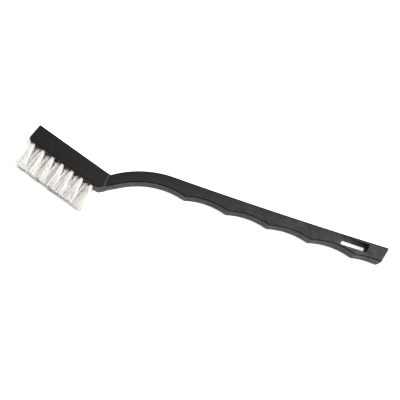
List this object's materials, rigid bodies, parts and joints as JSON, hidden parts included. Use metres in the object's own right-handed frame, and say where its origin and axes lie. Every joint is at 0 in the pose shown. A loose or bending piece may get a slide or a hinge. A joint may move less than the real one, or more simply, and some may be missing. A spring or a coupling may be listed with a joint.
{
  "type": "crevice brush",
  "caption": "Slim one-piece black plastic brush with an angled head of white nylon tufts, a finger-scalloped grip and a hanging slot.",
  "frame": {"origin": "centre of the bounding box, at its bottom: the plane of the head's lower side face, on which the brush lies", "axes": "+X along the back of the grip from the head to the hanging end, +Y towards the back of the brush (the bristles point to -Y), +Z across the brush, up from the side it lies on"},
  "size_m": [0.1875, 0.0335, 0.0112],
  "materials": {
    "handle_plastic": "black injection-moulded polypropylene, satin, faintly mottled",
    "bristle_nylon": "natural white nylon filament, semi-translucent, satin",
    "anchor_steel": "thin rolled plate, bright"
  },
  "bodies": {
    "root": {"handle": "handle_plastic", "tuft_left_1": "bristle_nylon", "tuft_left_2": "bristle_nylon", "tuft_left_3": "bristle_nylon", "tuft_left_4": "bristle_nylon", "tuft_left_5": "bristle_nylon", "tuft_left_6": "bristle_nylon", "tuft_left_7": "bristle_nylon", "tuft_centre_1": "bristle_nylon", "tuft_centre_2": "bristle_nylon", "tuft_centre_3": "bristle_nylon", "tuft_centre_4": "bristle_nylon", "tuft_centre_5": "bristle_nylon", "tuft_centre_6": "bristle_nylon", "tuft_right_1": "bristle_nylon", "tuft_right_2": "bristle_nylon", "tuft_right_3": "bristle_nylon", "tuft_right_4": "bristle_nylon", "tuft_right_5": "bristle_nylon", "tuft_right_6": "bristle_nylon", "tuft_right_7": "bristle_nylon", "anchor_left_1": "anchor_steel", "anchor_left_2": "anchor_steel", "anchor_left_3": "anchor_steel", "anchor_left_4": "anchor_steel", "anchor_left_5": "anchor_steel", "anchor_left_6": "anchor_steel", "anchor_left_7": "anchor_steel", "anchor_centre_1": "anchor_steel", "anchor_centre_2": "anchor_steel", "anchor_centre_3": "anchor_steel", "anchor_centre_4": "anchor_steel", "anchor_centre_5": "anchor_steel", "anchor_centre_6": "anchor_steel", "anchor_right_1": "anchor_steel", "anchor_right_2": "anchor_steel", "anchor_right_3": "anchor_steel", "anchor_right_4": "anchor_steel", "anchor_right_5": "anchor_steel", "anchor_right_6": "anchor_steel", "anchor_right_7": "anchor_steel"}
  },
  "joints": []
}
